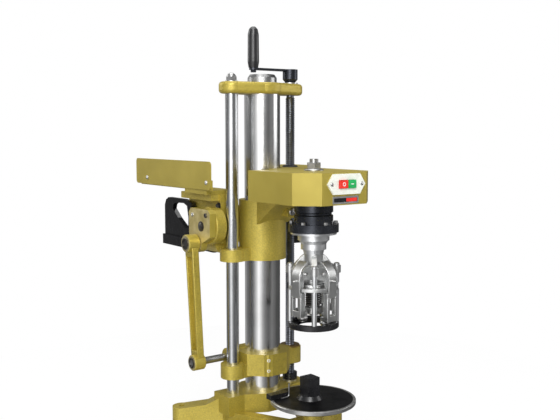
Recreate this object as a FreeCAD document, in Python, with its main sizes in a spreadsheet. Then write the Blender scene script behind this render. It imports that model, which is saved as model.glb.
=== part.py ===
"""Bench-top screw capping machine with a roller head, a belt-driven spindle and a crank-driven lift.

Millimetres. The origin is the column axis on the floor, +X to the right, +Y to the rear, +Z up.
The spindle stands in front of the column, at -Y.
"""

import FreeCAD, Part
import math
import os
import re

import Sketcher
from FreeCAD import Placement, Rotation, Vector

# Driving dimensions, all in millimetres unless the name ends in _deg
SIZES = {
    # Clearances
    "fit": 0.05,
    "run": 0.4,
    "free": 2,
    # Column, guide rod and height screw
    "column_d": 75,
    "column_wall": 8,
    "guide_d": 26,
    "guide_stud": 16,
    "guide_x": 76,
    "screw_d": 20,
    "screw_x": 73,
    # Base casting
    "block_low": 30,
    "block_high": 70,
    "rail_high": 35,
    "rail_x": 98,
    "rail_bend": 16,
    "rail_wide": 30,
    "nose_x": 27,
    "nose_back": 17,
    "post_rim": 10,
    "socket_deep": 30,
    "lug_half": 29,
    "lug_step": 10,
    "chest_x": 21,
    "chest_y": 52,
    "leg_x": 72,
    "leg_y": 10,
    "leg_long": 108,
    "leg_wide": 40,
    "leg_high": 62,
    "leg_deg": 39,
    "foot_x": 112,
    "foot_y": 102,
    "foot_high": 18,
    "foot_hole": 12,
    # Top plate
    "plate_low": 694,
    "plate_thick": 24,
    "plate_boss": 44,
    "plate_lug": 26,
    "cap_d": 61,
    "cap_high": 17,
    # Table
    "reach": 175,
    "post_d": 40,
    "table_d": 170,
    "table_high": 90,
    "table_thick": 9,
    "rest_wide": 28,
    "rest_high": 43,
    "rest_left": 5,
    "rest_back": 4,
    # Crank on the height screw
    "hub_d": 32,
    "hub_high": 27,
    "arm_long": 90,
    "arm_wide": 18,
    "arm_thick": 4,
    "arm_deg": 175,
    "grip_d": 24,
    "grip_long": 84,
    # Lift collar
    "collar_low": 107,
    "collar_high": 46,
    "collar_flat": 56,
    "collar_lug": 29,
    "nut_d": 34,
    "eye_boss": 36,
    # Head casting
    "sleeve_low": 350,
    "sleeve_long": 125,
    "sleeve_wall": 12.5,
    "head_lug": 25,
    "corbel_wide": 80,
    "corbel_deep": 48,
    # Belt cover and the shelf under it
    "cover_low": 481,
    "cover_high": 60,
    "cover_half": 92.6,
    "cover_front": 92,
    "cover_rear": 84.6,
    "cover_cut": 38.7,
    "cover_sheet": 2,
    "shelf_thick": 8,
    "motor_x": 135,
    "motor_y": 95,
    "motor_d": 110,
    "motor_high": 116,
    # Pulleys and belt
    "spindle_pitch": 38,
    "motor_pitch": 26,
    "belt_thick": 8,
    "belt_high": 12,
    "belt_level": 26,
    # Gearbox, crank and connecting rod
    "shaft_y": 34,
    "shaft_over_sleeve": 72,
    "shaft_d": 28,
    "gear_face": 109,
    "gear_boss": 78,
    "gear_deep": 78,
    "gear_top_long": 130,
    "gear_top_high": 42,
    "lift_motor_d": 64,
    "lift_motor_long": 55,
    "bracket_y": 116,
    "bracket_long": 122,
    "bracket_low": 364,
    "bracket_high": 106,
    "bracket_x": 96,
    "bracket_thick": 10,
    "cap_thick": 6,
    "throw": 41.2,
    "throw_deg": 29,
    "web_thick": 15,
    "rod_thick": 26,
    "rod_web": 20,
    "rod_wide": 31,
    "big_eye": 37,
    "small_eye": 33,
    "crank_pin": 18,
    "lift_pin": 15,
    "lift_pin_y": 32,
    "lift_pin_up": 31.6,
    # Guard and switch
    "guard_x": 124,
    "guard_y": 2,
    "guard_long": 336,
    "guard_low": 498,
    "guard_high": 58,
    "guard_sheet": 3,
    "switch_wide": 90,
    "switch_high": 38,
    "switch_thick": 4,
    "switch_up": 21,
    "button_wide": 19,
    "button_high": 15,
    "button_out": 4,
    # Spindle and capping head
    "housing_d": 76,
    "housing_long": 42,
    "flange_d": 98,
    "flange_thick": 16,
    "spindle_d": 25,
    "bearing_d": 52,
    "bearing_wide": 15,
    "neck_long": 43,
    "carrier_long": 57,
    "spider_thick": 12,
    "cage_long": 65,
    "ring_thick": 11,
    "ring_d": 101,
    "ring_hole": 83,
    "cage_r": 45.5,
    "cage_rod": 7,
    "cage_sleeve": 10,
    "wing_low": 20,
    "wing_high": 14,
    "head_deg": 9,
    "pivot_r": 39,
    "pivot_down": 35,
    "lever_thick": 22,
    "lever_slot": 11,
    "roller_r": 30,
    "roller_d": 20,
    "roller_high": 9,
}

doc = FreeCAD.newDocument("ScrewCapper")
sheet = doc.addObject("Spreadsheet::Sheet", "Dims")
for row, (word, number) in enumerate(SIZES.items(), start=1):
    sheet.set(f"A{row}", word)
    sheet.set(f"B{row}", str(number))
    sheet.setAlias(f"B{row}", word)
doc.recompute()

NODES = {}
ALONG_X = Rotation(Vector(0, 1, 0), 90)
ALONG_Y = Rotation(Vector(1, 0, 0), -90)
UPRIGHT = Rotation()

# Levels and places that several pieces share
PLATE_TOP = "(plate_low + plate_thick)"
COLLAR_TOP = "(collar_low + collar_high)"
SLEEVE_TOP = "(sleeve_low + sleeve_long)"
COVER_TOP = "(cover_low + cover_high)"
SHELF_TOP = "(cover_low + shelf_thick)"
BELT_LOW = "(cover_low + belt_level)"
SHAFT_Z = "(sleeve_low + shaft_over_sleeve)"
PIN_Z = "(collar_low + lift_pin_up)"
CRANK_OUT = "(gear_face + cap_thick + run + web_thick)"
FRONT_Y = "(reach + cover_front)"
FLANGE_LOW = "(cover_low - housing_long - flange_thick)"
NECK_TOP = "(cover_low - housing_long - flange_thick - run)"
CARRIER_TOP = "(cover_low - housing_long - flange_thick - run - neck_long)"
CARRIER_LOW = f"({CARRIER_TOP} - carrier_long)"
SPIDER_LOW = f"({CARRIER_LOW} - spider_thick)"
RING_TOP = f"({SPIDER_LOW} - cage_long)"
PIVOT_Z = f"({CARRIER_TOP} - pivot_down)"


def size(word):
    return float(getattr(sheet, word))


def link(text):
    """Expression text with every size named through the sheet."""
    return re.sub(r"[a-z_]+", lambda m: "Dims." + m[0] if m[0] in SIZES else m[0], str(text))


def bind(thing, prop, text):
    thing.setExpression(prop, link(text))


def put(thing, x=0, y=0, z=0, turn=UPRIGHT):
    thing.Placement = Placement(Vector(), turn)
    for axis, text in zip("xyz", (x, y, z)):
        bind(thing, f".Placement.Base.{axis}", text)
    return thing


def cylinder(radius, height, x=0, y=0, z=0, turn=UPRIGHT):
    thing = doc.addObject("Part::Cylinder", "Cylinder")
    bind(thing, "Radius", radius)
    bind(thing, "Height", height)
    return put(thing, x, y, z, turn)


def cone(low, high, height, x=0, y=0, z=0, turn=UPRIGHT):
    thing = doc.addObject("Part::Cone", "Cone")
    bind(thing, "Radius1", low)
    bind(thing, "Radius2", high)
    bind(thing, "Height", height)
    return put(thing, x, y, z, turn)


def box(long, wide, high, x=0, y=0, z=0, turn=UPRIGHT):
    thing = doc.addObject("Part::Box", "Box")
    bind(thing, "Length", long)
    bind(thing, "Width", wide)
    bind(thing, "Height", high)
    return put(thing, x, y, z, turn)


def prism(sides, radius, height, x=0, y=0, z=0, turn=UPRIGHT):
    thing = doc.addObject("Part::Prism", "Prism")
    thing.Polygon = sides
    bind(thing, "Circumradius", radius)
    bind(thing, "Height", height)
    return put(thing, x, y, z, turn)


def joined(*parts):
    thing = doc.addObject("Part::MultiFuse", "Joined")
    thing.Shapes = list(parts)
    thing.Refine = True
    return thing


def cut(base, *tools):
    for tool in tools:
        thing = doc.addObject("Part::Cut", "Cut")
        thing.Base = base
        thing.Tool = tool
        thing.Refine = True
        base = thing
    return base


def group(*parts):
    thing = doc.addObject("Part::Compound", "Group")
    thing.Links = list(parts)
    return thing


def plane_sketch(body, plane):
    sketch = body.newObject("Sketcher::SketchObject", "Sketch")
    face = next(f for f in body.Origin.OriginFeatures if f.Role == plane)
    sketch.AttachmentSupport = [(face, "")]
    sketch.MapMode = "FlatFace"
    return sketch


def fix(sketch, kind, index, text):
    """Hold a line's first point at a distance from the sketch's own origin."""
    if str(text) == "0":
        axis = -2 if kind == "DistanceX" else -1
        sketch.addConstraint(Sketcher.Constraint("PointOnObject", index, 1, axis))
        return
    row = sketch.addConstraint(Sketcher.Constraint(kind, -1, 1, index, 1, 1.0))
    bind(sketch, f"Constraints[{row}]", text)


def outline(body, plane, corners):
    """Closed straight-sided sketch whose corners are given by expressions."""
    sketch = plane_sketch(body, plane)
    count = len(corners)
    for index in range(count):
        turn = 2 * math.pi * index / count
        after = 2 * math.pi * (index + 1) / count
        start = Vector(50 * math.cos(turn), 50 * math.sin(turn), 0)
        end = Vector(50 * math.cos(after), 50 * math.sin(after), 0)
        sketch.addGeometry(Part.LineSegment(start, end), False)
    for index in range(count):
        after = (index + 1) % count
        sketch.addConstraint(Sketcher.Constraint("Coincident", index, 2, after, 1))
    for index, (along, up) in enumerate(corners):
        fix(sketch, "DistanceX", index, along)
        fix(sketch, "DistanceY", index, up)
    return sketch


def slab(corners, thick, x=0, y=0, z=0, turn=UPRIGHT, plane="XY_Plane", middle=False):
    """Straight-sided plate: an outline given a thickness along its own normal."""
    body = doc.addObject("PartDesign::Body", "Body")
    pad = body.newObject("PartDesign::Pad", "Pad")
    pad.Profile = outline(body, plane, corners)
    pad.Midplane = middle
    bind(pad, "Length", thick)
    body.Tip = pad
    return put(body, x, y, z, turn)


def turned(profile, x=0, y=0, z=0, turn=UPRIGHT):
    """Turned piece: a profile of radius and height given a full turn about its own Z."""
    body = doc.addObject("PartDesign::Body", "Body")
    spin = body.newObject("PartDesign::Revolution", "Turned")
    sketch = outline(body, "XZ_Plane", profile)
    spin.Profile = sketch
    spin.ReferenceAxis = (sketch, ["V_Axis"])
    spin.Angle = 360
    body.Tip = spin
    return put(body, x, y, z, turn)


def rounded(body, radius, wanted):
    """Fillet the body's edges that the test picks."""
    doc.recompute()
    last = body.Tip
    names = [f"Edge{n}" for n, edge in enumerate(last.Shape.Edges, 1) if wanted(edge)]
    fillet = body.newObject("PartDesign::Fillet", "Fillet")
    fillet.Base = (last, names)
    bind(fillet, "Radius", radius)
    body.Tip = fillet
    return body


def node(name, thing):
    thing.Label = name
    NODES[name] = thing
    return thing


def spin_z(degrees):
    return Rotation(Vector(0, 0, 1), degrees)


def base_casting():
    """Two converging rails, four feet and the column block that bridges the rails."""
    lug_l, lug_r = "(guide_x + lug_half)", "(screw_x + lug_half)"
    waist_l, waist_r = "(guide_x - lug_step)", "(screw_x - lug_step)"
    half = [(f"-{lug_l}", "-lug_half"), (f"-{waist_l}", "-lug_half"), ("-chest_x", "-chest_y"),
            ("chest_x", "-chest_y"), (waist_r, "-lug_half"), (lug_r, "-lug_half")]
    other = [(x, y[1:]) for x, y in reversed(half)]
    block = slab(half + other, "block_high - block_low", z="block_low")
    inner, tail = "(rail_x - rail_wide)", "(lug_half + 1)"
    right = [("rail_x", tail), ("rail_x", "-rail_bend"), ("nose_x", "-(reach - nose_back)")]
    left = [(f"-{x}", y) for x, y in reversed(right)]
    back = [(f"-{inner}", tail), (f"-{inner}", "-(rail_bend + 8)"),
            ("-(nose_x - 9)", "-(reach - nose_back - 36)")]
    front = [(x[1:], y) for x, y in reversed(back)]
    pieces = [block, slab(right + left + back + front, "rail_high")]
    pieces.append(cylinder("post_d / 2 + post_rim", "rail_high", y="-reach"))
    holes = []
    for side in (-1, 1):
        profile = [("0", "0"), ("0", "leg_high"), ("leg_wide / 2", "leg_high"),
                   ("leg_long / 2", "rail_high + 9"),
                   ("leg_long", "rail_high"), ("leg_long", "0")]
        turn = 90 - side * (90 - size("leg_deg"))
        ramp = slab(profile, "leg_wide", f"{side} * leg_x", "leg_y", 0, spin_z(turn), "XZ_Plane", True)
        tip_x = f"{side} * (leg_x + leg_long * cos(leg_deg * 1deg))"
        tip_y = "leg_y + leg_long * sin(leg_deg * 1deg)"
        pieces += [ramp, cylinder("leg_wide / 2", "rail_high", tip_x, tip_y)]
        heel_x, heel_y = "(foot_x - 16)", "(foot_y + 14)"
        root_x = f"({heel_x} - 1.3 * ({heel_x} - rail_x + 36))"
        root_y = f"({heel_y} - 1.3 * ({heel_y} - rail_bend - 64))"
        foot = [(f"{side} * rail_x", "-rail_bend"), (f"{side} * (foot_x + 20)", "-foot_y"),
                (f"{side} * {heel_x}", f"-{heel_y}"), (f"{side} * {root_x}", f"-{root_y}")]
        pieces += [slab(foot, "foot_high"),
                   cylinder("leg_wide / 2", "foot_high", f"{side} * foot_x", "-foot_y")]
        holes += [cylinder("foot_hole / 2", "rail_high + 2", tip_x, tip_y, -1),
                  cylinder("foot_hole / 2", "foot_high + 2", f"{side} * foot_x", "-foot_y", -1)]
    holes.append(cylinder("column_d / 2 + fit", "leg_high + 20", z="block_low - 1"))
    holes.append(cylinder("guide_d / 2 + fit", "leg_high", x="-guide_x", z="block_high - socket_deep"))
    holes.append(cylinder("screw_d / 2 + 4", "leg_high", x="screw_x", z="block_high - socket_deep"))
    node("base_casting", cut(joined(*pieces), *holes))


def column_parts():
    tube = cylinder("column_d / 2", f"{PLATE_TOP} - block_low", z="block_low")
    bore = cylinder("column_d / 2 - column_wall", f"{PLATE_TOP} - block_low + 2", z="block_low - 1")
    node("column", cut(tube, bore))
    rod = [("0", "block_high - socket_deep"), ("guide_d / 2", "block_high - socket_deep"),
           ("guide_d / 2", "plate_low"),
           ("guide_stud / 2", "plate_low"), ("guide_stud / 2", f"{PLATE_TOP} + 10"),
           ("0", f"{PLATE_TOP} + 10")]
    node("guide_rod", turned(rod, x="-guide_x"))
    cap = [("0", "0"), ("cap_d / 2", "0"), ("cap_d / 2", "cap_high * 0.6"), ("cap_d / 2 - 4.5", "cap_high"),
           ("0", "cap_high")]
    node("column_cap", turned(cap, z=PLATE_TOP))
    washer = cylinder("guide_stud / 2 + 5", 2, "-guide_x", 0, PLATE_TOP)
    hexagon = prism(6, "guide_stud / 2 + 4", 8, "-guide_x", 0, f"{PLATE_TOP} + 2")
    dome = doc.addObject("Part::Sphere", "Dome")
    bind(dome, "Radius", "guide_stud / 2 + 2")
    put(dome, "-guide_x", 0, f"{PLATE_TOP} + 8")
    stud = cylinder("guide_stud / 2 + fit", 10 + 0.05, "-guide_x", 0, PLATE_TOP)
    below = box(60, 60, 20, "-guide_x - 30", -30, f"{PLATE_TOP} - 18")
    node("acorn_nut", cut(joined(washer, hexagon, cut(dome, below)), stud))


def top_plate():
    """Cast yoke across the column, guide rod and screw."""
    body = doc.addObject("PartDesign::Body", "Yoke")
    bar = body.newObject("PartDesign::Pad", "Bar")
    right = [("0", "-plate_boss"), ("screw_x", "-plate_lug"), ("screw_x", "plate_lug"), ("0", "plate_boss")]
    left = [("-guide_x", "plate_lug"), ("-guide_x", "-plate_lug")]
    bar.Profile = outline(body, "XY_Plane", right + left)
    bind(bar, "Length", "plate_thick")
    body.Tip = bar
    put(body, z="plate_low")
    lugs = [cylinder("plate_lug", "plate_thick", "-guide_x", 0, "plate_low"),
            cylinder("plate_boss", "plate_thick", 0, 0, "plate_low"),
            cylinder("plate_lug", "plate_thick", "screw_x", 0, "plate_low")]
    holes = [cylinder("column_d / 2 + fit", "plate_thick + 2", 0, 0, "plate_low - 1"),
             cylinder("guide_stud / 2 + fit", "plate_thick + 2", "-guide_x", 0, "plate_low - 1"),
             cylinder("screw_d / 2 + 4", "plate_thick + 2", "screw_x", 0, "plate_low - 1")]
    yoke = joined(body, *lugs)
    doc.recompute()
    soft = doc.addObject("Part::Fillet", "Soft")
    soft.Base = yoke
    levels = (size("plate_low"), size("plate_low") + size("plate_thick"))
    picked = []
    for number, edge in enumerate(yoke.Shape.Edges, 1):
        heights = {round(v.Point.z, 3) for v in edge.Vertexes}
        if len(heights) == 1 and heights.pop() in levels:
            picked.append((number, 0.3 * size("plate_thick"), 0.3 * size("plate_thick")))
    soft.Edges = picked
    node("top_plate", cut(soft, *holes))


def height_screw():
    """Screw with its bushes, hand crank and foot collar."""
    core, step = "screw_d / 2", "(screw_d / 2 - 2)"
    low, high = "(block_high - socket_deep + 2)", f"({PLATE_TOP} + hub_high + 1)"
    profile = [("0", low), (step, low), (step, "(block_high + 4)"), (core, "(block_high + 4)"),
               (core, "(plate_low - 5)"), (step, "(plate_low - 5)"), (step, high), ("0", high)]
    node("height_screw", turned(profile, x="screw_x"))
    bushes = []
    for seat, lip, long, floor in (("(block_high - socket_deep)", "block_high", "socket_deep", "1"),
                                   ("plate_low", PLATE_TOP, "plate_thick", "(0 - 1)")):
        sleeve = cylinder("screw_d / 2 + 4 - fit", long, "screw_x", 0, seat)
        flange = cylinder("screw_d / 2 + 6", 3, "screw_x", 0, lip)
        bore = cylinder(f"{step} + fit", f"{long} + 8", "screw_x", 0, f"{seat} + {floor}")
        bushes.append(cut(joined(sleeve, flange), bore))
    node("screw_bushes", group(*bushes))
    ring = cylinder("screw_d / 2 + 6", 13, "screw_x", 0, "block_high + 5")
    clear = cylinder(f"{core} + fit", 15, "screw_x", 0, "block_high + 4")
    node("foot_collar", cut(ring, clear))
    hub = [("0", "4"), ("hub_d / 2 - 5", "4"), ("hub_d / 2", "10"), ("hub_d / 2", "hub_high"),
           ("0", "hub_high")]
    socket = cylinder(f"{step} + fit", "hub_high + 2", "screw_x", 0, f"{PLATE_TOP} - 1")
    node("crank_hub", cut(turned(hub, "screw_x", 0, PLATE_TOP), socket))
    level = f"({PLATE_TOP} + hub_high)"
    tip_x, tip_y = "(screw_x + arm_long * cos(arm_deg * 1deg))", "(arm_long * sin(arm_deg * 1deg))"
    along = spin_z(size("arm_deg"))
    side_x, side_y = "screw_x + arm_wide / 2 * sin(arm_deg * 1deg)", "0 - arm_wide / 2 * cos(arm_deg * 1deg)"
    flat = box("arm_long", "arm_wide", "arm_thick", side_x, side_y, level, along)
    ends = [cylinder("hub_d / 2", "arm_thick", "screw_x", 0, level),
            cylinder("arm_wide / 2", "arm_thick", tip_x, tip_y, level),
            cylinder("4", "grip_long - 6", tip_x, tip_y, level),
            prism(6, "6.5", "5", tip_x, tip_y, f"{level} - 5")]
    eye = cylinder(f"{step} + fit", "arm_thick + 2", "screw_x", 0, f"{level} - 1")
    node("crank_arm", cut(joined(flat, *ends), eye))
    base = f"({level} + arm_thick + run)"
    grip = [("4 + fit", "0"), ("grip_d / 2 - 2", "0"), ("grip_d / 2", "12"),
            ("grip_d / 2 - 0.5", "grip_long - 16"),
            ("grip_d / 2 - 3", "grip_long - 5"), ("grip_d / 2 - 8", "grip_long"), ("0", "grip_long"),
            ("0", "grip_long - 6"), ("4 + fit", "grip_long - 6")]
    node("crank_grip", turned(grip, tip_x, tip_y, base))


def lift_collar():
    """Octagonal collar on the column, with lugs for the guide rod and lead nut and a boss for the pin."""
    ring = prism(8, "collar_flat / cos(22.5deg)", "collar_high", 0, 0, "collar_low", spin_z(22.5))
    lug_low = "(collar_low - 4)"
    pieces = [ring,
              cylinder("guide_d / 2 + 13", "collar_lug", "-guide_x", 0, lug_low),
              box("guide_x", "2 * guide_d - 8", "collar_lug", "-guide_x", "-(guide_d - 4)", lug_low),
              cylinder("nut_d / 2 + 7", "collar_high - 12", "screw_x", 0, "collar_low + 6"),
              box("screw_x", "nut_d + 8", "collar_high - 12", 0, "-(nut_d / 2 + 4)", "collar_low + 6"),
              cylinder("eye_boss / 2", "guide_x - 32", "-(guide_x - 4)", "lift_pin_y", PIN_Z, ALONG_X)]
    pad = box(18, 10, "collar_high", "-(collar_flat + 3) * cos(67.5deg) - 9 * cos(22.5deg)",
              "-(collar_flat + 3) * sin(67.5deg) + 9 * sin(22.5deg)", "collar_low", spin_z(-22.5))
    pieces.append(pad)
    holes = [cylinder("column_d / 2 + fit", "collar_high + 20", 0, 0, "collar_low - 10"),
             cylinder("guide_d / 2 + fit", "collar_high + 20", "-guide_x", 0, "collar_low - 10"),
             cylinder("nut_d / 2 + fit", "collar_high + 20", "screw_x", 0, "collar_low - 10"),
             cylinder("nut_d / 2 + 5", "20", "screw_x", 0, f"{COLLAR_TOP} - 6"),
             cylinder("lift_pin / 2 + fit", f"{CRANK_OUT} - 40", f"-({CRANK_OUT} + 1)", "lift_pin_y", PIN_Z,
                      ALONG_X)]
    node("lift_collar", cut(joined(*pieces), *holes))
    nut = cylinder("nut_d / 2", "collar_high - 9", "screw_x", 0, "collar_low + 6")
    lip = cylinder("nut_d / 2 + 4", 4, "screw_x", 0, f"{COLLAR_TOP} - 6")
    thread = cylinder("screw_d / 2 + fit", "collar_high + 2", "screw_x", 0, "collar_low")
    node("lead_nut", cut(joined(nut, lip), thread))
    start = f"({CRANK_OUT} + run + rod_thick)"
    node("lower_pin", cylinder("lift_pin / 2", f"{start} - 45", f"-{start}", "lift_pin_y", PIN_Z, ALONG_X))


def cover_outline(inset):
    """Plan of the belt cover, or of the shelf inside it when inset."""
    half, front, rear = f"(cover_half - {inset})", f"({FRONT_Y} - {inset})", f"(cover_rear + {inset})"
    bend = f"({FRONT_Y} - cover_cut - {inset} * 0.41)"
    nose = f"(cover_half - cover_cut - {inset} * 0.41)"
    wide, deep = f"(motor_x + 43 - {inset})", f"(motor_y + 43 - {inset})"
    return [(f"-{half}", f"-{rear}"), (f"-{half}", f"-{bend}"), (f"-{nose}", f"-{front}"),
            (nose, f"-{front}"), (half, f"-{bend}"), (half, f"-(80 + {inset} * 0.5)"),
            (wide, f"(motor_y - 45 + {inset} * 0.5)"), (wide, deep), (f"(motor_x - 43 + {inset})", deep),
            (f"(30 + {inset})", "60"), (f"-(14 - {inset})", "-46"), (f"-(14 - {inset})", f"-{rear}")]


def head_casting():
    """Sliding sleeve with its guide lug, corbel, belt shelf and gearbox pad."""
    outer = "(column_d / 2 + sleeve_wall)"
    shelf = slab(cover_outline("(cover_sheet + 2)"), "shelf_thick", z="cover_low")
    half = "corbel_wide / 2"
    side = [("-(column_d / 2)", f"{SLEEVE_TOP} - corbel_deep"), ("-(reach - 57)", "cover_low"),
            ("-(reach - 57)", "cover_low + 4"), ("-(column_d / 2)", "cover_low + 4")]
    corbel = slab(side, "corbel_wide", f"-{half}", 0, 0, UPRIGHT, "YZ_Plane")
    pieces = [cylinder(outer, "sleeve_long", 0, 0, "sleeve_low"), shelf, corbel,
              cylinder("guide_d / 2 + 13", "head_lug", "-guide_x", 0, "sleeve_low"),
              box("guide_x", "2 * guide_d - 8", "head_lug", "-guide_x", "-(guide_d - 4)", "sleeve_low"),
              box(30, 40, "sleeve_long - 50", "-(gear_face - 54)", 20, "sleeve_low + 35"),
              box(24, 50, f"{SHELF_TOP} - sleeve_low - 80", "column_d / 2 - 1", -10, "sleeve_low + 80"),
              cylinder("13", "40", 12, "-(column_d / 2 + 52)", f"{SLEEVE_TOP} - 21", ALONG_Y)]
    holes = [cylinder("column_d / 2 + fit", "sleeve_long + 2", 0, 0, "sleeve_low - 1"),
             cylinder("column_d / 2 + free", "40", 0, 0, SLEEVE_TOP),
             cylinder("guide_d / 2 + fit", "sleeve_long", "-guide_x", 0, "sleeve_low - 1"),
             cylinder("screw_d / 2 + free", "40", "screw_x", 0, "cover_low - 10"),
             cylinder("spindle_d / 2 + free", "40", 0, "-reach", "cover_low - 10"),
             cylinder("16", "40", "motor_x", "motor_y", "cover_low - 10")]
    node("head_casting", cut(joined(*pieces), *holes))


def belt_cover():
    """Sheet cover with a closed top, open below, notched round the column."""
    skin = slab(cover_outline("0"), "cover_high", z="cover_low")
    room = slab(cover_outline("cover_sheet"), "cover_high - cover_sheet", z="cover_low - 0.001")
    notch = cylinder("column_d / 2 + free + 2", "cover_high + 2", 0, 0, "cover_low - 1")
    way = box("corbel_wide + 4", "60", "10", "-(corbel_wide / 2 + 2)", "-(cover_rear + 10)", "cover_low - 1")
    screw = cylinder("screw_d / 2 + 4", 20, "screw_x", 0, f"{COVER_TOP} - 10")
    spindle = cylinder("spindle_d / 2 + 2", 20, 0, "-reach", f"{COVER_TOP} - 10")
    shell = cut(skin, room, notch, way, screw, spindle)
    node("belt_cover", shell)
    ring = turned([("screw_d / 2 + 0.8", "0"), ("screw_d / 2 + 7", "0"), ("screw_d / 2 + 5", "4"),
                   ("screw_d / 2 + 0.8", "4")], "screw_x", 0, COVER_TOP)
    node("screw_grommet", ring)


def switch():
    """Six-sided switch plate with two push buttons."""
    half, tall = "switch_wide / 2", "switch_high / 2"
    corner = f"({half} - 13)"
    face = [(f"-{half}", "0"), (f"-{corner}", f"-{tall}"), (corner, f"-{tall}"), (half, "0"),
            (corner, tall), (f"-{corner}", tall)]
    level = f"({COVER_TOP} - switch_up)"
    middle, seam = "2", "0.5"
    plate = slab(face, "switch_thick", middle, f"-{FRONT_Y}", level, UPRIGHT, "XZ_Plane")
    wide, high = "button_wide", "button_high"
    slot = box(f"2 * {wide} + 2 * {seam} + 1", "switch_thick + 2", f"{high} + 1",
               f"{middle} - {wide} - {seam} - 0.5", f"-({FRONT_Y} + switch_thick + 1)",
               f"{level} - {high} / 2 - 0.5")
    node("switch_plate", cut(plate, slot))
    for name, start in (("stop_button", f"{middle} - {wide} - {seam}"),
                        ("start_button", f"{middle} + {seam}")):
        button = box(wide, "switch_thick + button_out - 3.4", high, start,
                     f"-({FRONT_Y} + switch_thick + button_out)", f"{level} - {high} / 2")
        node(name, button)


def drives():
    """Spindle motor with its pulley, the belt and the spindle pulley."""
    body = turned([("0", "0"), ("motor_d / 2 - 12", "0"), ("motor_d / 2", "8"),
                   ("motor_d / 2", "motor_high - 16"),
                   ("motor_d / 2 + 6", "motor_high - 12"), ("motor_d / 2 + 6", "motor_high"),
                   ("0", "motor_high")],
                  "motor_x", "motor_y", "cover_low - motor_high")
    way = cylinder("10 + run", 60, "motor_x", "motor_y", "cover_low - 40")
    node("spindle_motor", cut(body, way))
    stem = [("0", "-30"), ("10", "-30")]
    node("motor_pulley", pulley("motor_x", "motor_y", "motor_pitch", "0", "10", stem))
    bore, hub = "(spindle_d / 2 + fit)", "(spindle_d / 2 + 9)"
    foot = [(bore, "2"), (hub, "2")]
    node("spindle_pulley", pulley("0", "-reach", "spindle_pitch", bore, hub, foot))
    node("drive_belt", belt())


def pulley(x, y, pitch, bore, hub, foot):
    """Flanged pulley above the shelf; its groove is level with the belt."""
    groove, rim = f"({pitch} - belt_thick / 2 - run)", f"({pitch} + 5)"
    low, high = "(belt_level - shelf_thick - 1.5)", "(belt_level - shelf_thick + belt_high + 1.5)"
    profile = foot + [(hub, f"{low} - 4"), (rim, f"{low} - 4"), (rim, low), (groove, low), (groove, high),
                      (rim, high), (rim, f"{high} + 4"), (bore, f"{high} + 4")]
    return turned(profile, x, y, SHELF_TOP)


def belt():
    """Closed belt round both pulleys, on their common tangents."""
    first = Vector(0, -size("reach"), 0)
    second = Vector(size("motor_x"), size("motor_y"), 0)
    gap = (second - first).Length
    along = (second - first).normalize()
    across = Vector(-along.y, along.x, 0)
    faces = []
    for side in (-1, 1):
        shift = side * size("belt_thick") / 2
        big, small = size("spindle_pitch") + shift, size("motor_pitch") + shift
        lean = (big - small) / gap
        rise = math.sqrt(1 - lean * lean)
        left, right = along * lean + across * rise, along * lean - across * rise
        path = [Part.Arc(first + right * big, first - along * big, first + left * big).toShape(),
                Part.LineSegment(first + left * big, second + left * small).toShape(),
                Part.Arc(second + left * small, second + along * small, second + right * small).toShape(),
                Part.LineSegment(second + right * small, first + right * big).toShape()]
        faces.append(Part.Face(Part.Wire(path)))
    loop = doc.addObject("Part::Feature", "Belt")
    loop.Shape = faces[1].cut(faces[0]).extrude(Vector(0, 0, size("belt_high")))
    return put(loop, 0, 0, BELT_LOW)


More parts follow.
